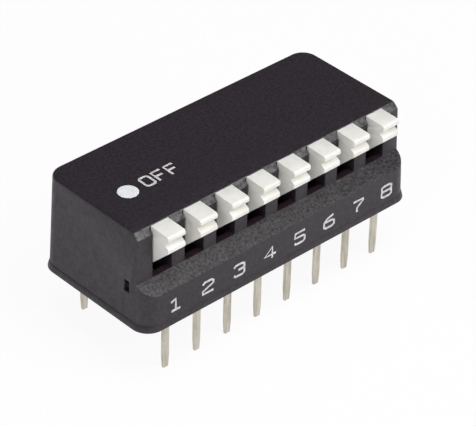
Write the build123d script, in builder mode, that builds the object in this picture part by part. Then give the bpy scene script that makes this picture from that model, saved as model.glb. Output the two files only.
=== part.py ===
# Eight-position side-actuated DIP switch, through-hole.
# Frame: X runs along the row of rockers, the rockers face -Y, Z is up.
# z = 0 is the underside of the housing, which sits on the circuit board.
from build123d import *
from math import atan2, degrees, radians, sin
import os

os.makedirs("parts", exist_ok=True)

# ---- board pattern ----
positions = 8
pitch = 2.54
row_spacing = 7.62

# ---- housing, outside ----
end_margin = 2.21          # from the end leads to the foot of each end
front_margin = 0.79        # from the front leads to the numbered face
back_margin = 1.31
height = 6.75
end_draft = 0.32           # each end leans in by this much at the top
side_draft = 0.10          # front and back lean in by this much at the top
corner_r = 1.1             # upright corners
top_edge_r = 0.22
foot_lip = 0.12            # the foot flares out by this much
foot_lip_h = 0.42

# ---- housing, front step ----
brow_drop = 0.10           # the top falls by this much from the fall line to its front edge
brow_reach = 1.42          # fall line to front edge
brow_chamfer_w = 0.38
brow_chamfer_h = 0.40
face_h = 3.13              # recessed upright face, from the ledge to the chamfer
ledge_reach = 1.10         # recessed face to numbered face
ledge_fall = 0.66

# ---- housing, inside ----
roof = 0.70
end_wall = 0.72
front_wall = 0.45
back_wall = 0.55
face_wall = 0.50           # thickness of the recessed face
slot_open = 0.30           # each slot is open at the top, this far behind the face

# ---- base, seal and terminals ----
seal_h = 0.30
base_top = 2.02
base_clearance = 0.04
lead_w = 0.46
lead_t = 0.22
lead_below = 3.85          # from the underside of the housing to the tip
lead_taper = 0.90
lead_tip_w = 0.37
lead_tip_t = 0.17
lead_clearance = 0.02
pad_w = 1.20
pad_gap = 0.30             # between a front pad and the pad behind it
pad_roof_gap = 0.08        # from the pads up to the housing
bend_r = 0.30

# ---- rocker ----
rocker_w = 1.34
travel = 16.0              # degrees from OFF (up) to ON (down)
rocker_clearance = 0.10    # rocker to each side of its slot
pivot_behind_face = 3.10
trunnion_r = 0.34
trunnion_proud = 0.24
bearing_clearance = 0.03
head_below_top = 0.07
head_reach = 1.30          # recessed face to the finger end
head_slope = 0.05
head_notch = 0.34
head_brow_below = 0.38     # below the top of the head
head_notch_below = 0.72
head_lobe_below = 0.92
head_chin_below = 1.22
head_low_below = 1.40
head_undercut = 0.20
neck_under_below = 2.48
neck_clearance = 0.05
hub_r = 0.86
skirt_w = 1.24
skirt_drop = 1.42
lobe_r = 0.16
neck_step = 0.32           # the underside falls by this much inside the face wall
neck_fall = 0.55

# ---- contact ball and spring, carried in the rocker ----
ball_r = 0.37
ball_arm = 1.60            # pivot to the middle of the ball
ball_gap = 0.03            # ball to pads at rest
bore_clearance = 0.03
bore_above_pivot = 0.50
spring_wire = 0.12
spring_turns = 4
spring_clearance = 0.03

# ---- latch, one at each end ----
latch_behind_face = 0.80
latch_w = 0.36
latch_t = 0.32
latch_nose = 0.52
latch_nose_h = 0.30
latch_nose_up = 0.20       # above the pocket for the base
latch_clearance = 0.05
window_margin = 0.26       # open height above and below the nose

# ---- sizes that follow ----
pin_x = [(i - (positions - 1) / 2) * pitch for i in range(positions)]
pin_y = row_spacing / 2
length = (positions - 1) * pitch + 2 * end_margin
depth_front = pin_y + front_margin
depth_back = pin_y + back_margin
mid_y = (depth_back - depth_front) / 2
face_y = -depth_front + ledge_reach
brow_y = face_y + brow_chamfer_w
fall_line_y = brow_y + brow_reach
ledge_back_z = height - brow_drop - brow_chamfer_h - face_h
ledge_front_z = ledge_back_z - ledge_fall
slot_w = rocker_w + 2 * rocker_clearance
slot_back_y = face_y + slot_open
depth = depth_front + depth_back
pocket_x = length / 2 - end_wall
pocket_front = -depth_front + front_wall
pocket_back = depth_back - back_wall
pad_top = base_top + lead_t
pocket_h = pad_top + pad_roof_gap
cell_front = face_y + face_wall
cell_back = depth_back - side_draft - back_wall
cell_top = height - brow_drop - roof
pivot_y = face_y + pivot_behind_face
pivot_z = pad_top + ball_gap + ball_r + ball_arm
ball_z = pivot_z - ball_arm
bore_r = ball_r + bore_clearance
trunnion_half = rocker_w / 2 + trunnion_proud
bearing_half = trunnion_half + bearing_clearance
gap_mid_y = pivot_y + ball_arm * sin(radians(travel))
latch_y = face_y + latch_behind_face
latch_nose_z = pocket_h + latch_nose_up
arm_pocket_x = pocket_x - latch_t - latch_clearance

# ---- housing: one black moulding, open below, with eight cells ----
with BuildPart() as housing:
    with BuildSketch(Plane.XY):
        with Locations((0, mid_y)):
            RectangleRounded(length, depth, corner_r)
    with BuildSketch(Plane.XY.offset(height)):
        with Locations((0, mid_y)):
            RectangleRounded(length - 2 * end_draft, depth - 2 * side_draft, corner_r)
    loft(ruled=True)
    fillet(housing.faces().sort_by(Axis.Z)[-1].edges(), top_edge_r)

    # flare round the foot
    with BuildSketch(Plane.XY):
        with Locations((0, mid_y)):
            RectangleRounded(length + 2 * foot_lip, depth + 2 * foot_lip, corner_r + foot_lip)
    extrude(amount=foot_lip_h, taper=degrees(atan2(foot_lip, foot_lip_h)))

    # front step: sloping brow, chamfer, recessed face and falling ledge
    ledge_slope = (ledge_back_z - ledge_front_z) / (depth_front + face_y)
    ahead = depth_front + 2
    with BuildSketch(Plane.YZ):
        with BuildLine():
            Polyline(
                (fall_line_y, height),
                (brow_y, height - brow_drop),
                (face_y, height - brow_drop - brow_chamfer_h),
                (face_y, ledge_back_z),
                (-ahead, ledge_back_z - ledge_slope * (ahead + face_y)),
                (-ahead, height + 1),
                (fall_line_y, height + 1),
                close=True,
            )
        make_face()
    extrude(amount=length, both=True, mode=Mode.SUBTRACT)

    # pocket for the base, then one cell behind each slot
    with BuildSketch(Plane.XY):
        with Locations((0, (pocket_front + pocket_back) / 2)):
            Rectangle(2 * pocket_x, pocket_back - pocket_front)
    extrude(amount=pocket_h, mode=Mode.SUBTRACT)
    with BuildSketch(Plane.XY.offset(pocket_h)):
        with Locations(*[(x, (cell_front + cell_back) / 2) for x in pin_x]):
            Rectangle(slot_w, cell_back - cell_front)
    extrude(amount=cell_top - pocket_h, mode=Mode.SUBTRACT)

    for x in pin_x:
        # slot through the recessed face, open at the top in front of the roof
        with BuildSketch(Plane.YZ.offset(x)):
            with BuildLine():
                Polyline(
                    (cell_front, ledge_back_z),
                    (-ahead, ledge_back_z),
                    (-ahead, height + 1),
                    (slot_back_y, height + 1),
                    (slot_back_y, cell_top),
                    (cell_front, cell_top),
                    close=True,
                )
            make_face()
        extrude(amount=slot_w / 2, both=True, mode=Mode.SUBTRACT)
        # bearing groove for the trunnions, closed at the top by a half round
        with BuildSketch(Plane.YZ.offset(x)):
            with Locations((pivot_y, pivot_z)):
                Circle(trunnion_r + bearing_clearance)
            with Locations((pivot_y, (pocket_h + pivot_z) / 2)):
                Rectangle(2 * (trunnion_r + bearing_clearance), pivot_z - pocket_h)
        extrude(amount=bearing_half, both=True, mode=Mode.SUBTRACT)

    # latch arm pockets and their windows in the end walls
    window_low = latch_nose_z - window_margin
    window_high = latch_nose_z + latch_nose_h + window_margin
    for side in (-1, 1):
        with BuildSketch(Plane.XY.offset(pocket_h)):
            with Locations((side * (arm_pocket_x + pocket_x) / 2, latch_y)):
                Rectangle(pocket_x - arm_pocket_x, latch_w + 2 * latch_clearance)
        extrude(amount=window_high - pocket_h, mode=Mode.SUBTRACT)
        with BuildSketch(Plane.XY.offset(window_low)):
            with Locations((side * (pocket_x + length / 2) / 2, latch_y)):
                Rectangle(end_wall + 2 * foot_lip, latch_w + 2 * latch_clearance)
        extrude(amount=window_high - window_low, mode=Mode.SUBTRACT)
housing.part.label = "housing"
export_step(housing.part, "parts/housing.step")

# ---- base: carries the terminals and latches into the housing ----
base_x = pocket_x - base_clearance
base_front = pocket_front + base_clearance
base_back = pocket_back - base_clearance
lead_slot = (lead_w + 2 * lead_clearance, lead_t + 2 * lead_clearance)
with BuildPart() as base:
    with BuildSketch(Plane.XY.offset(seal_h)):
        with Locations((0, (base_front + base_back) / 2)):
            Rectangle(2 * base_x, base_back - base_front)
        with Locations(*[(x, y) for x in pin_x for y in (-pin_y, pin_y)]):
            Rectangle(*lead_slot, mode=Mode.SUBTRACT)
    extrude(amount=base_top - seal_h)
    for side in (-1, 1):
        # latch arm, with a nose that shows in the window
        with BuildSketch(Plane.XZ.offset(-latch_y)):
            with BuildLine():
                Polyline(
                    (side * (base_x - latch_t), base_top),
                    (side * base_x, base_top),
                    (side * base_x, latch_nose_z),
                    (side * (base_x + latch_nose), latch_nose_z),
                    (side * (base_x + latch_nose / 2), latch_nose_z + latch_nose_h),
                    (side * (base_x - latch_t), latch_nose_z + latch_nose_h),
                    close=True,
                )
            make_face()
        extrude(amount=latch_w / 2, both=True)
base.part.label = "base"
export_step(base.part, "parts/base.step")

# ---- bottom seal: a thin cast layer under the base, round the leads ----
with BuildPart() as bottom_seal:
    with BuildSketch(Plane.XY):
        with Locations((0, (pocket_front + pocket_back) / 2)):
            Rectangle(2 * pocket_x, pocket_back - pocket_front)
        with Locations(*[(x, y) for x in pin_x for y in (-pin_y, pin_y)]):
            Rectangle(*lead_slot, mode=Mode.SUBTRACT)
    extrude(amount=seal_h)
bottom_seal.part.label = "bottom_seal"
export_step(bottom_seal.part, "parts/bottom_seal.step")

# ---- terminals: a contact pad on the base, bent down into a lead ----
pad_ends = {
    "front": (gap_mid_y - pad_gap / 2, -1),
    "back": (gap_mid_y + pad_gap / 2, 1),
}
for i, x in enumerate(pin_x):
    for row, (pad_end, side) in pad_ends.items():
        outer_y = side * (pin_y + lead_t / 2)
        inner_y = side * (pin_y - lead_t / 2)
        pad_stop = side * (pin_y - lead_t / 2 - bend_r)
        with BuildPart() as terminal:
            # bent strip in side view
            with BuildSketch(Plane.YZ.offset(x)):
                with BuildLine():
                    Polyline(
                        (pad_end, base_top),
                        (inner_y, base_top),
                        (inner_y, -lead_below),
                        (outer_y, -lead_below),
                        (outer_y, pad_top),
                        (pad_end, pad_top),
                        close=True,
                    )
                make_face()
            extrude(amount=lead_w / 2, both=True)
            bend = terminal.edges().sort_by_distance((x, outer_y, pad_top))[0]
            fillet(bend, bend_r)
            # wider contact pad
            with BuildSketch(Plane.XY.offset(base_top)):
                with Locations((x, (pad_end + pad_stop) / 2)):
                    Rectangle(pad_w, abs(pad_stop - pad_end))
            extrude(amount=lead_t)
            # tapered end: cut both faces of the lead in each view
            tip_views = (
                (Plane.XZ.offset(-side * pin_y), x, lead_w, lead_tip_w),
                (Plane.YZ.offset(x), side * pin_y, lead_t, lead_tip_t),
            )
            for plane, centre, full, tip in tip_views:
                with BuildSketch(plane):
                    for hand in (-1, 1):
                        with BuildLine():
                            Polyline(
                                (centre + hand * full / 2, lead_taper - lead_below),
                                (centre + hand * tip / 2, -lead_below),
                                (centre + hand * full, -lead_below),
                                (centre + hand * full, lead_taper - lead_below),
                                close=True,
                            )
                        make_face()
                extrude(amount=lead_w, both=True, mode=Mode.SUBTRACT)
        name = f"terminal_{row}_{i + 1}"
        terminal.part.label = name
        export_step(terminal.part, f"parts/{name}.step")

# ---- rockers, with the ball and spring that each one carries ----
skirt_z = pivot_z - skirt_drop
head_top_z = height - head_below_top
head_front_y = face_y - head_reach
neck_under_z = head_top_z - neck_under_below
spring_r = ball_r - spring_clearance - spring_wire / 2
spring_low = ball_z + ball_r + spring_wire / 2
spring_high = pivot_z + bore_above_pivot - spring_wire / 2
for i, x in enumerate(pin_x):
    with BuildPart() as rocker:
        with BuildSketch(Plane.YZ.offset(x)):
            with BuildLine():
                Polyline(
                    (slot_back_y - bearing_clearance, head_top_z),
                    (head_front_y, head_top_z - head_slope),
                    (head_front_y, head_top_z - head_brow_below),
                    (head_front_y + head_notch, head_top_z - head_notch_below),
                    (head_front_y, head_top_z - head_lobe_below),
                    (head_front_y, head_top_z - head_chin_below),
                    (head_front_y + head_undercut, head_top_z - head_low_below),
                    (face_y, neck_under_z),
                    (cell_front + rocker_clearance, neck_under_z - neck_step),
                    (pivot_y - skirt_w / 2, neck_under_z - neck_fall),
                    (pivot_y - skirt_w / 2, skirt_z),
                    (pivot_y + skirt_w / 2, skirt_z),
                    (pivot_y + skirt_w / 2, pivot_z),
                    (pivot_y, pivot_z + hub_r),
                    (slot_back_y - bearing_clearance, cell_top - neck_clearance),
                    close=True,
                )
            make_face()
            with Locations((pivot_y, pivot_z)):
                Circle(hub_r)
        extrude(amount=rocker_w / 2, both=True)
        # finger end: two rounded lobes with a groove between them
        across = rocker.edges().filter_by(Axis.X)
        lobe_edges = across.filter_by(lambda edge: edge.center().Y < head_front_y + lobe_r / 2)
        fillet(lobe_edges, lobe_r)
        # trunnions and the bore for the spring and ball
        with BuildSketch(Plane.YZ.offset(x)):
            with Locations((pivot_y, pivot_z)):
                Circle(trunnion_r)
        extrude(amount=trunnion_half, both=True)
        with BuildSketch(Plane.XY.offset(skirt_z)):
            with Locations((x, pivot_y)):
                Circle(bore_r)
        extrude(amount=skirt_drop + bore_above_pivot, mode=Mode.SUBTRACT)
    rocker.part.label = f"rocker_{i + 1}"
    export_step(rocker.part, f"parts/rocker_{i + 1}.step")

    with BuildPart(Plane.XY.offset(ball_z)) as ball:
        with Locations((x, pivot_y)):
            Sphere(ball_r)
    ball.part.label = f"contact_ball_{i + 1}"
    export_step(ball.part, f"parts/contact_ball_{i + 1}.step")

    spring_height = spring_high - spring_low
    with BuildPart() as spring:
        with BuildLine() as coil:
            Helix(spring_height / spring_turns, spring_height, spring_r, center=(x, pivot_y, spring_low))
        with BuildSketch(Plane(origin=coil.line @ 0, z_dir=coil.line % 0)):
            Circle(spring_wire / 2)
        sweep(is_frenet=True)
    spring.part.label = f"spring_{i + 1}"
    export_step(spring.part, f"parts/spring_{i + 1}.step")
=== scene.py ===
# %% [markdown]
# # A side-actuated DIP switch
# The switch is a black moulded housing with eight white rockers along one long side, and two rows of
# tin-plated leads below. The construction comes packed as a frame, in metres, and this lesson gives it
# its looks: softened edges, moulded and plated finishes, and the white print.

# %% Load the frame
import math
import bpy
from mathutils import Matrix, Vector


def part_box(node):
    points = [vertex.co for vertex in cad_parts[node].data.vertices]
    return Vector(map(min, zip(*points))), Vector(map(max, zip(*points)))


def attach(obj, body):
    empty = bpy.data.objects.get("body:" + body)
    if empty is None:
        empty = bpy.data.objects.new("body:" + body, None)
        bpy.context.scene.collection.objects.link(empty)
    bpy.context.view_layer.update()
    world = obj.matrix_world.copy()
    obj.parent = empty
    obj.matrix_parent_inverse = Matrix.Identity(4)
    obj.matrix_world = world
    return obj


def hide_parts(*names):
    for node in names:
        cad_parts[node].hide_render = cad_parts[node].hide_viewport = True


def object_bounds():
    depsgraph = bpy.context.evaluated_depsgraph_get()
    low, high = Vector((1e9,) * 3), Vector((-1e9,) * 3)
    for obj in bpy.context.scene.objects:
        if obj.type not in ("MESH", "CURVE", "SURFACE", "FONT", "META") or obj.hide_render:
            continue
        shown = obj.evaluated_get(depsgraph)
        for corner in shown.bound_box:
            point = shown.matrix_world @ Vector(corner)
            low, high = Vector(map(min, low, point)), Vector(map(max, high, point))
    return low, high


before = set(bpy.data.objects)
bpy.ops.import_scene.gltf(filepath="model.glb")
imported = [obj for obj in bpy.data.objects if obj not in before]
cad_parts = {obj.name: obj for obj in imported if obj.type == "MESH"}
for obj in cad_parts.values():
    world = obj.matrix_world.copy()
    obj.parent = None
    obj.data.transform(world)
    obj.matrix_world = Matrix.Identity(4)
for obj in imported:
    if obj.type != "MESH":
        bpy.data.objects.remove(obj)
cad_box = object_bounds()
scene = bpy.context.scene
MM = 0.001
POSITIONS = sum(1 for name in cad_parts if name.startswith("rocker_"))
print("nodes", len(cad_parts), "positions", POSITIONS)
print("cad box in mm", [[round(v / MM, 2) for v in corner] for corner in cad_box])

# %% [markdown]
# ## Places
# Every place is read from the frame. The front row of leads gives the pitch, and the housing's own
# box gives the top, the ends and the numbered face.

# %% Read the places that the looks need
housing_low, housing_high = [Vector(corner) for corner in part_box("housing")]
TOP = housing_high.z
LIP = 0.12 * MM                      # the foot flares out by this much
FACE_Y = housing_low.y + LIP         # the numbered face, at its foot
SIDE_DRAFT = 0.10 * MM               # the face leans back by this much in its whole height
FACE_LEAN = SIDE_DRAFT / TOP


def lead_x(position):
    """The middle of a front lead, along the row."""
    low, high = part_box(f"terminal_front_{position}")
    return (low[0] + high[0]) / 2


PITCH = lead_x(2) - lead_x(1)
print("pitch in mm", round(PITCH / MM, 3), "top at", round(TOP / MM, 3))

# %% [markdown]
# ## Camera
# A long lens from far off keeps the lines of this small part nearly parallel. The camera looks down
# from the front left, so that the left end, the top and the row of rockers all show. An orthographic
# camera would be simpler, but it would lose the little convergence that a real lens gives.

# %% Set the camera
bpy.ops.object.camera_add(
    location=(-0.089652, -0.094701, 0.094879),
    rotation=(math.radians(54.347), math.radians(-1.251), math.radians(-42.699)),
)
camera = bpy.context.object
camera.data.lens = 194.5
camera.data.sensor_width = 36.0
camera.data.clip_start = 0.005
camera.data.clip_end = 10.0
scene.camera = camera
print("camera lens", camera.data.lens)

# %% [markdown]
# ## Small helpers for materials
# Each finish starts from one Principled shader. Noise on Object coordinates gives moulded grain,
# because Object coordinates stay still on the piece and keep their real scale. Generated coordinates
# would stretch with each piece's box, and a UV map would need seams that a moulding doesn't have.


# %% Helpers that start a finish
def new_finish(name, colour, roughness, metallic=0.0, specular=0.5):
    """A material with one Principled shader, and its node tree."""
    finish = bpy.data.materials.new(name)
    finish.use_nodes = True
    tree = finish.node_tree
    shader = tree.nodes["Principled BSDF"]
    shader.inputs["Base Color"].default_value = (*colour, 1.0)
    shader.inputs["Roughness"].default_value = roughness
    shader.inputs["Metallic"].default_value = metallic
    shader.inputs["Specular IOR Level"].default_value = specular
    return finish, tree, shader


def noise(tree, per_mm, detail=4.0, stretch=(1.0, 1.0, 1.0)):
    """A noise texture on Object coordinates, with per_mm cells in a millimetre."""
    place = tree.nodes.new("ShaderNodeTexCoord")
    mapping = tree.nodes.new("ShaderNodeMapping")
    mapping.inputs["Scale"].default_value = stretch
    texture = tree.nodes.new("ShaderNodeTexNoise")
    texture.inputs["Scale"].default_value = per_mm / MM
    texture.inputs["Detail"].default_value = detail
    tree.links.new(place.outputs["Object"], mapping.inputs["Vector"])
    tree.links.new(mapping.outputs["Vector"], texture.inputs["Vector"])
    return texture


def vary_colour(tree, shader, texture, dark, light, low=0.35, high=0.65):
    """Lets the texture move the base colour from dark to light."""
    ramp = tree.nodes.new("ShaderNodeValToRGB")
    ramp.color_ramp.elements[0].position = low
    ramp.color_ramp.elements[1].position = high
    ramp.color_ramp.elements[0].color = (*dark, 1.0)
    ramp.color_ramp.elements[1].color = (*light, 1.0)
    tree.links.new(texture.outputs["Fac"], ramp.inputs["Fac"])
    tree.links.new(ramp.outputs["Color"], shader.inputs["Base Color"])


def vary_roughness(tree, shader, texture, smooth, rough):
    """Lets the texture move the roughness between two values."""
    span = tree.nodes.new("ShaderNodeMapRange")
    span.inputs["From Min"].default_value = 0.3
    span.inputs["From Max"].default_value = 0.7
    span.inputs["To Min"].default_value = smooth
    span.inputs["To Max"].default_value = rough
    tree.links.new(texture.outputs["Fac"], span.inputs["Value"])
    tree.links.new(span.outputs["Result"], shader.inputs["Roughness"])


def add_bump(tree, shader, texture, height_mm, strength):
    """A bump of a real height, from the texture."""
    bump = tree.nodes.new("ShaderNodeBump")
    bump.inputs["Strength"].default_value = strength
    bump.inputs["Distance"].default_value = height_mm * MM
    tree.links.new(texture.outputs["Fac"], bump.inputs["Height"])
    tree.links.new(bump.outputs["Normal"], shader.inputs["Normal"])


# %% [markdown]
# ## Black moulded plastic
# The housing is glass-filled nylon from a spark-eroded mould. That leaves a fine matt grain, and the
# resin flows unevenly, so the black is slightly paler in places. One function makes the plastic, and
# the pieces differ in their grain: fine on the walls, and coarser on the ledge and the sloping edge.
# The sloping edge over the rockers is also much paler: a painted highlight of the key lamp's reflection.
# One noise moves the colour, and the same noise with less detail makes the bump. A picture of real
# plastic would also do, but noise needs no file and keeps its scale on every piece.


# %% The housing's plastic
def black_moulding(name, grain_per_mm, grain_height, grain_strength, dark, light, contrast=0.20):
    """The housing's plastic, with a grain of a given fineness and depth."""
    finish, tree, shader = new_finish(name, light, 0.5, specular=0.55)
    speckle = noise(tree, grain_per_mm, detail=8.0)
    vary_colour(tree, shader, speckle, dark, light, low=0.5 - contrast, high=0.5 + contrast)
    grain = noise(tree, grain_per_mm, detail=3.0)
    add_bump(tree, shader, grain, grain_height, grain_strength)
    vary_roughness(tree, shader, noise(tree, 2.2), 0.42, 0.56)
    return finish


BLACK_DARK, BLACK_LIGHT = (0.013, 0.0096, 0.0134), (0.030, 0.0238, 0.0306)
LEDGE_DARK, LEDGE_LIGHT = (0.002, 0.002, 0.002), (0.066, 0.060, 0.067)
# the sloping edge's colours are much paler than the rest: a painted highlight of the key lamp's
# reflection
PAINTED_HIGHLIGHT_DARK, PAINTED_HIGHLIGHT_LIGHT = (0.015, 0.014, 0.015), (0.135, 0.133, 0.140)
black = black_moulding("black_moulding", 5.5, 0.016, 0.6, BLACK_DARK, BLACK_LIGHT)
coarse = black_moulding("black_coarse_grain", 6.0, 0.035, 0.9, LEDGE_DARK, LEDGE_LIGHT, contrast=0.18)
# painted highlight: a paler black for the sloping edge over the rockers
painted_edge_highlight = black_moulding("black_edge_painted_highlight", 4.0, 0.035, 0.9, PAINTED_HIGHLIGHT_DARK, PAINTED_HIGHLIGHT_LIGHT)
print("made", black.name, coarse.name, painted_edge_highlight.name)

# %% The painted shade inside the slots, and the base
# The slots' inner faces get a dull black with little sheen: painted shade, standing in for the shadow
# under the rockers.
painted_slot_shade, tree, shader = new_finish("black_slots_painted_shade", (0.030, 0.016, 0.023), 0.8, specular=0.1)
add_bump(tree, shader, noise(tree, 6.0), 0.012, 0.5)

tray, tree, shader = new_finish("black_tray", (0.022, 0.021, 0.021), 0.6, specular=0.35)
tray_grain = noise(tree, 6.0)
vary_colour(tree, shader, tray_grain, (0.018, 0.017, 0.017), (0.028, 0.027, 0.027))
add_bump(tree, shader, tray_grain, 0.012, 0.5)
print("made", painted_slot_shade.name, tray.name)

# %% [markdown]
# ## White nylon
# The rockers are natural white nylon, faintly translucent, with a soft sheen from the tool. Handling
# leaves them very slightly cream in places. A plain white would look like paint, and a glass-like
# material would cost render time, so a little subsurface light under a satin skin is enough here.

# %% The rockers
white, tree, shader = new_finish("white_nylon", (0.80, 0.80, 0.76), 0.42, specular=0.45)
shader.inputs["Subsurface Weight"].default_value = 0.12
shader.inputs["Subsurface Radius"].default_value = (1.0, 0.8, 0.6)
shader.inputs["Subsurface Scale"].default_value = 0.25 * MM
cream = noise(tree, 0.9, detail=3.0)
vary_colour(tree, shader, cream, (0.77, 0.76, 0.71), (0.83, 0.83, 0.805))
nylon_grain = noise(tree, 7.0, detail=3.0)
add_bump(tree, shader, nylon_grain, 0.006, 0.4)
print("made", white.name)

# %% [markdown]
# ## Metals
# The leads are stamped strip with a satin tin plating. The strip was rolled and then drawn out of the
# stamping tool, so its faint streaks run down the lead: the noise is stretched along Z. An anisotropic
# shader could also give the streaks, but it needs a tangent, and these leads are too thin to show it.
# The contact balls are gold plated and the springs are plain wire, so roughness alone varies on them.

# %% The leads, balls and springs
tin, tree, shader = new_finish("tin_plate", (0.56, 0.52, 0.44), 0.4, metallic=1.0)
streaks = noise(tree, 5.0, detail=4.0, stretch=(1.0, 1.0, 0.12))
vary_colour(tree, shader, streaks, (0.46, 0.42, 0.35), (0.64, 0.60, 0.52))
vary_roughness(tree, shader, noise(tree, 3.0), 0.32, 0.48)
add_bump(tree, shader, streaks, 0.006, 0.35)

gold, tree, shader = new_finish("gold_plate", (0.83, 0.60, 0.24), 0.25, metallic=1.0)
vary_roughness(tree, shader, noise(tree, 6.0), 0.18, 0.34)

wire, tree, shader = new_finish("spring_wire", (0.55, 0.55, 0.55), 0.3, metallic=1.0)
vary_roughness(tree, shader, noise(tree, 8.0), 0.22, 0.40)
print("made", tin.name, gold.name, wire.name)

# %% [markdown]
# ## Sealing resin and ink
# The resin is poured under the base and sets with a slightly wavy, glossier skin, which a slow bump
# gives without moving the mesh. The print is pad printed white ink. It is a little thin in the narrow
# strokes, so their colour varies, and thicker in the round dot, so that has a finish of its own.

# %% The seal and the print
resin, tree, shader = new_finish("sealing_resin", (0.05, 0.035, 0.025), 0.3)
ripple = noise(tree, 0.8, detail=2.0)
vary_colour(tree, shader, ripple, (0.035, 0.025, 0.018), (0.065, 0.048, 0.034))
add_bump(tree, shader, ripple, 0.05, 0.4)

ink, tree, shader = new_finish("white_ink", (0.80, 0.80, 0.80), 0.55)
thin_ink = noise(tree, 5.0, detail=4.0)
vary_colour(tree, shader, thin_ink, (0.42, 0.42, 0.43), (0.70, 0.70, 0.71), low=0.3, high=0.65)
add_bump(tree, shader, thin_ink, 0.006, 0.5)

thick_ink, tree, shader = new_finish("white_ink_dot", (0.76, 0.78, 0.79), 0.5)
vary_colour(tree, shader, noise(tree, 2.5), (0.72, 0.74, 0.75), (0.80, 0.82, 0.83))
print("made", resin.name, ink.name, thick_ink.name)

# %% [markdown]
# ## Finishes on the nodes
# A node whose shape is already right keeps its mesh and only gets its finish. The name says what the
# node is made of, so one table by name is enough, and a longer switch would be dressed the same way.

# %% Give each node its finish
FINISH_BY_NAME = {
    "housing": black,
    "base": tray,
    "bottom_seal": resin,
    "terminal": tin,
    "rocker": white,
    "contact_ball": gold,
    "spring": wire,
}


def dress(piece, finish):
    """The piece has this finish and no other."""
    piece.data.materials.clear()
    piece.data.materials.append(finish)


for name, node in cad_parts.items():
    kind = next(key for key in FINISH_BY_NAME if name.startswith(key))
    dress(node, FINISH_BY_NAME[kind])
print("dressed", len(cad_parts), "nodes")

# %% [markdown]
# ## Softened edges
# A mould can't make a knife edge. The frame's slots and rockers have sharp ones, so a copy of each is
# given small bevels and stands for its node. The triangles are first dissolved into whole faces, so
# that the bevel finds only real edges. A bevel shader node would be quicker, but it doesn't survive an
# export, and the outline would stay sharp.


# %% Soften a copy of a node
def deselect_all():
    """Operators act on all that is selected, so each step starts with nothing."""
    for other in bpy.context.selected_objects:
        other.select_set(False)


def soften(name, width_mm, segments, angle=30.0):
    """A copy of the node, with bevelled edges, that stands for it."""
    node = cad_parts[name]
    deselect_all()
    copy = node.copy()
    copy.data = node.data.copy()
    copy.parent = None
    for key in list(copy.keys()):
        del copy[key]
    copy.name = f"{name}_moulded"
    scene.collection.objects.link(copy)
    copy.select_set(True)
    bpy.context.view_layer.objects.active = copy
    bpy.ops.object.mode_set(mode="EDIT")
    bpy.ops.mesh.select_all(action="SELECT")
    bpy.ops.mesh.remove_doubles(threshold=0.0005 * MM)
    bpy.ops.mesh.dissolve_limited(angle_limit=math.radians(1.0))
    bpy.ops.object.mode_set(mode="OBJECT")
    bevel = copy.modifiers.new("edges", "BEVEL")
    bevel.width = width_mm * MM
    bevel.segments = segments
    bevel.limit_method = "ANGLE"
    bevel.angle_limit = math.radians(angle)
    bpy.ops.object.modifier_apply(modifier=bevel.name)
    bpy.ops.object.shade_smooth_by_angle(angle=math.radians(40.0))
    return copy


# %% The rockers with softened edges
for position in range(1, POSITIONS + 1):
    finger = soften(f"rocker_{position}", 0.06, 2)
    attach(finger, f"rocker_{position}")
    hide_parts(f"rocker_{position}")
print("rockers softened, faces in one", len(finger.data.polygons))

# %% [markdown]
# ## The housing's regions
# The ledge, the sloping edge and the slots are parts of the one moulding, so they get their finish face
# by face: the ledge a coarser grain, the sloping edge a painted highlight and the slots painted shade.
# Faces are picked by height, depth and the way they look, which holds for any row length. The
# alternative is to cut the shell into pieces, but the real one has no such joints.

# %% The housing with softened edges and its regions
shell = soften("housing", 0.05, 2)
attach(shell, "body")
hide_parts("housing")
# the ledge's coarser grain, the slots' painted shade and the sloping edge's painted highlight
ON_LEDGE, IN_SLOT_SHADE, ON_EDGE_HIGHLIGHT = 1, 2, 3
for finish in (coarse, painted_slot_shade, painted_edge_highlight):
    shell.data.materials.append(finish)
LEDGE_LOW, LEDGE_HIGH = 2.0 * MM, 3.2 * MM
LEDGE_BACK = -3.4 * MM
EDGE_LOW, EDGE_HIGH = 6.2 * MM, 6.72 * MM
SLOT_LOW, SLOT_HIGH = 3.0 * MM, 6.1 * MM
SLOT_FRONT, SLOT_BACK = -3.49 * MM, -3.00 * MM
SLOT_REACH = housing_high.x - 1.0 * MM    # beyond this lie the end walls
SLOPE = 0.3                               # a face that looks this much up or forward slopes
for face in shell.data.polygons:
    middle, way = face.center, face.normal
    looks_up = way.z > SLOPE
    if looks_up and middle.y < LEDGE_BACK and LEDGE_LOW < middle.z < LEDGE_HIGH:
        face.material_index = ON_LEDGE
    # the sloping edge over the rockers gets the painted highlight
    elif looks_up and way.y < -SLOPE and EDGE_LOW < middle.z < EDGE_HIGH:
        face.material_index = ON_EDGE_HIGHLIGHT
    # the faces inside the slots get the painted shade
    elif SLOT_FRONT < middle.y < SLOT_BACK and SLOT_LOW < middle.z < SLOT_HIGH:
        if abs(middle.x) < SLOT_REACH:
            face.material_index = IN_SLOT_SHADE
print("shell faces", len(shell.data.polygons))

# %% [markdown]
# ## Print
# The characters are single strokes of even width with squared turns, as on parts of this age. Each is
# drawn as a chain of points on a small grid: one vertex is extruded from point to point, the chain
# becomes a curve with a round section, and the section is pressed flat so that it lies on the plastic
# like ink. A text object would be quicker, but its outlines have no single-stroke look.

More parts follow.
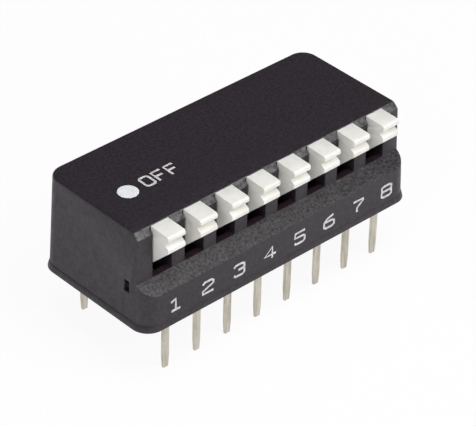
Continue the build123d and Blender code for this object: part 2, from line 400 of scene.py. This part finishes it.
# %% The strokes of each character, on a grid two wide and four high
STROKES = {
    "1": [[(0.25, 3.2), (1.1, 4), (1.1, 0)], [(0.3, 0), (1.9, 0)]],
    "2": [[(0, 3.3), (0.35, 4), (1.65, 4), (2, 3.4), (2, 2.6), (0, 1.0), (0, 0), (2, 0)]],
    "3": [[(0, 3.4), (0.35, 4), (1.6, 4), (2, 3.5), (2, 2.5), (1.5, 2.1), (0.8, 2.1)],
          [(1.5, 2.1), (2, 1.7), (2, 0.5), (1.6, 0), (0.35, 0), (0, 0.6)]],
    "4": [[(1.5, 0), (1.5, 4), (0, 1.3), (2.2, 1.3)]],
    "5": [[(2, 4), (0.15, 4), (0, 2.3), (1.6, 2.3), (2, 1.9), (2, 0.5), (1.6, 0), (0.35, 0), (0, 0.5)]],
    "6": [[(1.8, 4), (0.6, 3.3), (0, 2.2), (0, 0.5), (0.4, 0), (1.6, 0), (2, 0.5), (2, 1.7),
           (1.6, 2.2), (0, 2.2)]],
    "7": [[(0, 4), (2, 4), (2, 3.4), (0.8, 1.5), (0.8, 0)]],
    "8": [[(0.4, 4), (1.6, 4), (2, 3.6), (2, 2.5), (1.6, 2.1), (0.4, 2.1), (0, 2.5), (0, 3.6), (0.4, 4)],
          [(0.4, 2.1), (0, 1.7), (0, 0.4), (0.4, 0), (1.6, 0), (2, 0.4), (2, 1.7), (1.6, 2.1)]],
    "O": [[(0.4, 4), (1.6, 4), (2, 3.5), (2, 0.5), (1.6, 0), (0.4, 0), (0, 0.5), (0, 3.5), (0.4, 4)]],
    "F": [[(0, 0), (0, 4), (2, 4)], [(0, 2.1), (1.6, 2.1)]],
}
GRID_WIDE, GRID_HIGH = 2, 4
STROKE_W = 0.17 * MM
INK_H = 0.012 * MM


# %% Draw one character flat on the XY plane
def draw_stroke(points, width, height):
    """One chain of points as a ribbon, with the chain centred on the origin."""
    deselect_all()
    bpy.ops.mesh.primitive_plane_add(size=width, location=(0, 0, 0))
    stroke = bpy.context.object
    corner = Vector((width / 2, height / 2, 0))
    scaled = [Vector((x / GRID_WIDE * width, y / GRID_HIGH * height, 0)) - corner for x, y in points]
    bpy.ops.object.mode_set(mode="EDIT")
    bpy.ops.mesh.select_all(action="SELECT")
    bpy.ops.mesh.merge(type="CENTER")
    bpy.ops.transform.translate(value=scaled[0])
    for start, end in zip(scaled, scaled[1:]):
        bpy.ops.mesh.extrude_region_move(TRANSFORM_OT_translate={"value": end - start})
    bpy.ops.object.mode_set(mode="OBJECT")
    bpy.ops.object.convert(target="CURVE")
    stroke = bpy.context.object
    stroke.data.dimensions = "3D"
    stroke.data.bevel_depth = STROKE_W / 2
    stroke.data.bevel_resolution = 3
    stroke.data.use_fill_caps = True
    bpy.ops.object.convert(target="MESH")
    return bpy.context.object


def draw_character(character, name, width, height):
    """All the strokes of a character as one flat piece."""
    parts = [draw_stroke(points, width, height) for points in STROKES[character]]
    deselect_all()
    for part in parts:
        part.select_set(True)
    bpy.context.view_layer.objects.active = parts[0]
    if len(parts) > 1:
        bpy.ops.object.join()
    piece = bpy.context.object
    piece.name = name
    # press the round section flat: z is the ink's height
    for vertex in piece.data.vertices:
        vertex.co.z *= INK_H / STROKE_W * 2
    bpy.ops.object.shade_smooth_by_angle(angle=math.radians(60.0))
    dress(piece, ink)
    return piece


def print_on_body(piece, turn, place):
    """Turns the flat piece, puts it in its place, and fixes it to the body."""
    deselect_all()
    piece.select_set(True)
    bpy.context.view_layer.objects.active = piece
    piece.rotation_euler = turn
    piece.location = place
    bpy.ops.object.transform_apply(location=True, rotation=True, scale=True)
    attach(piece, "body")


# %% Number the positions along the ledge
NUMBER_W = 0.86 * MM
NUMBER_H = 0.82 * MM
NUMBER_Z = 1.30 * MM
NUMBER_SHIFT = 0.20 * MM             # the numbers stand a little to the right of their leads
ONE_SHIFT = 0.10 * MM                # and the narrow 1 stands nearer to its lead
face_y = FACE_Y + NUMBER_Z * FACE_LEAN
lean = math.atan(FACE_LEAN)
for position in range(1, POSITIONS + 1):
    number = draw_character(str(position), f"number_{position}", NUMBER_W, NUMBER_H)
    shift = NUMBER_SHIFT if position > 1 else ONE_SHIFT
    print_on_body(number, (math.pi / 2 - lean, 0, 0), (lead_x(position) + shift, face_y, NUMBER_Z))
print("numbers at y", round(face_y / MM, 3))

# %% [markdown]
# ## Marks on the top
# OFF is printed behind the first rockers, and a round dot marks position one. The dot is a disc,
# inset once and bevelled, with its rim a little lower than its middle, as a drop of ink dries.

# %% Print OFF and the dot
LETTER_W, LETTER_H = 0.68 * MM, 0.94 * MM
LETTER_PITCH = 1.00 * MM
LETTER_Y = 0.28 * MM
letters_x = lead_x(1) + 2.12 * MM
for place, letter in enumerate("OFF"):
    drawn = draw_character(letter, f"off_letter_{place + 1}", LETTER_W, LETTER_H)
    print_on_body(drawn, (0, 0, 0), (letters_x + place * LETTER_PITCH, LETTER_Y, TOP))

DOT_R = 0.66 * MM
DOT_X = lead_x(1) + 0.52 * MM
DOT_Y = 0.18 * MM
deselect_all()
bpy.ops.mesh.primitive_circle_add(vertices=48, radius=DOT_R, fill_type="NGON", location=(0, 0, 0))
dot = bpy.context.object
dot.name = "position_one_dot"
bpy.ops.object.mode_set(mode="EDIT")
bpy.ops.mesh.select_all(action="SELECT")
bpy.ops.mesh.extrude_region_move(TRANSFORM_OT_translate={"value": (0, 0, INK_H * 0.6)})
bpy.ops.mesh.inset(thickness=DOT_R * 0.12)
bpy.ops.transform.translate(value=(0, 0, INK_H * 0.4))
bpy.ops.mesh.select_all(action="SELECT")
bpy.ops.mesh.normals_make_consistent(inside=False)
bpy.ops.object.mode_set(mode="OBJECT")
bpy.ops.object.shade_smooth_by_angle(angle=math.radians(60.0))
dress(dot, thick_ink)
print_on_body(dot, (0, 0, 0), (DOT_X, DOT_Y, TOP))
print("letters from x", round(letters_x / MM, 2))

# %% [markdown]
# ## Floor and light
# The switch stands on its leads on a white sheet. What the camera sees of the sheet, straight or in a
# reflection, is mostly plain white, and the rest is lit, so that a faint shadow stays. The wide key lamp
# hangs a little to the right of the front, and lights the rockers and the numbered face. A weaker one
# fills the left end, and a crown lamp overhead lights the rockers' tops. Those two stay out of
# reflections, so that the black top stays dark.

# %% Lay the floor
FLOOR_Z = cad_box[0][2]
FLOOR_SIZE = 1.2
PLAIN_SHARE = 0.93                   # the rest of the white sheet shows the light that falls on it
deselect_all()
bpy.ops.mesh.primitive_plane_add(size=FLOOR_SIZE, location=(0, 0, FLOOR_Z))
floor = bpy.context.object
floor.name = "floor"
paper, tree, shader = new_finish("white_paper", (0.86, 0.86, 0.86), 0.8, specular=0.1)
paths = tree.nodes.new("ShaderNodeLightPath")
plain = tree.nodes.new("ShaderNodeEmission")
plain.inputs["Strength"].default_value = 1.0
blend = tree.nodes.new("ShaderNodeMixShader")
seen = tree.nodes.new("ShaderNodeMath")
seen.operation = "ADD"
share = tree.nodes.new("ShaderNodeMath")
share.operation = "MULTIPLY"
share.inputs[1].default_value = PLAIN_SHARE
share.use_clamp = True
tree.links.new(paths.outputs["Is Camera Ray"], seen.inputs[0])
tree.links.new(paths.outputs["Is Glossy Ray"], seen.inputs[1])
tree.links.new(seen.outputs[0], share.inputs[0])
tree.links.new(share.outputs[0], blend.inputs["Fac"])
tree.links.new(shader.outputs["BSDF"], blend.inputs[1])
tree.links.new(plain.outputs["Emission"], blend.inputs[2])
tree.links.new(blend.outputs["Shader"], tree.nodes["Material Output"].inputs["Surface"])
dress(floor, paper)


# %% Hang the lamps
def hang_lamp(name, azimuth, elevation, distance, size, power, colour, in_reflections=False):
    """A square lamp that faces the switch. Azimuth 0 is straight in front, and 90 is at the left end."""
    turn, rise = math.radians(azimuth), math.radians(elevation)
    toward = Vector((-math.sin(turn) * math.cos(rise), -math.cos(turn) * math.cos(rise), math.sin(rise)))
    deselect_all()
    bpy.ops.object.light_add(type="AREA", location=toward * distance)
    lamp = bpy.context.object
    lamp.name = name
    lamp.data.size = size
    lamp.data.energy = power
    lamp.data.color = colour
    lamp.rotation_euler = (-toward).to_track_quat("-Z", "Y").to_euler()
    lamp.visible_glossy = in_reflections
    return lamp


hang_lamp("key", -14, 41, 0.30, 0.26, 0.575, (1.0, 0.99, 0.975), in_reflections=True)
hang_lamp("fill", 72, 30, 0.35, 0.25, 0.34, (1.0, 0.98, 0.95))
hang_lamp("crown", 10, 78, 0.35, 0.20, 0.63, (1.0, 1.0, 1.0))

# %% Light the room
world = bpy.data.worlds.new("studio")
scene.world = world
world.use_nodes = True
tree = world.node_tree
sky = tree.nodes["Background"]
sky.inputs["Color"].default_value = (0.80, 0.81, 0.83, 1.0)
sky.inputs["Strength"].default_value = 0.15
backdrop = tree.nodes.new("ShaderNodeBackground")
backdrop.inputs["Strength"].default_value = 1.0
paths = tree.nodes.new("ShaderNodeLightPath")
blend = tree.nodes.new("ShaderNodeMixShader")
tree.links.new(paths.outputs["Is Camera Ray"], blend.inputs["Fac"])
tree.links.new(sky.outputs["Background"], blend.inputs[1])
tree.links.new(backdrop.outputs["Background"], blend.inputs[2])
tree.links.new(blend.outputs["Shader"], tree.nodes["World Output"].inputs["Surface"])
scene.view_settings.view_transform = "Standard"
print("lit")
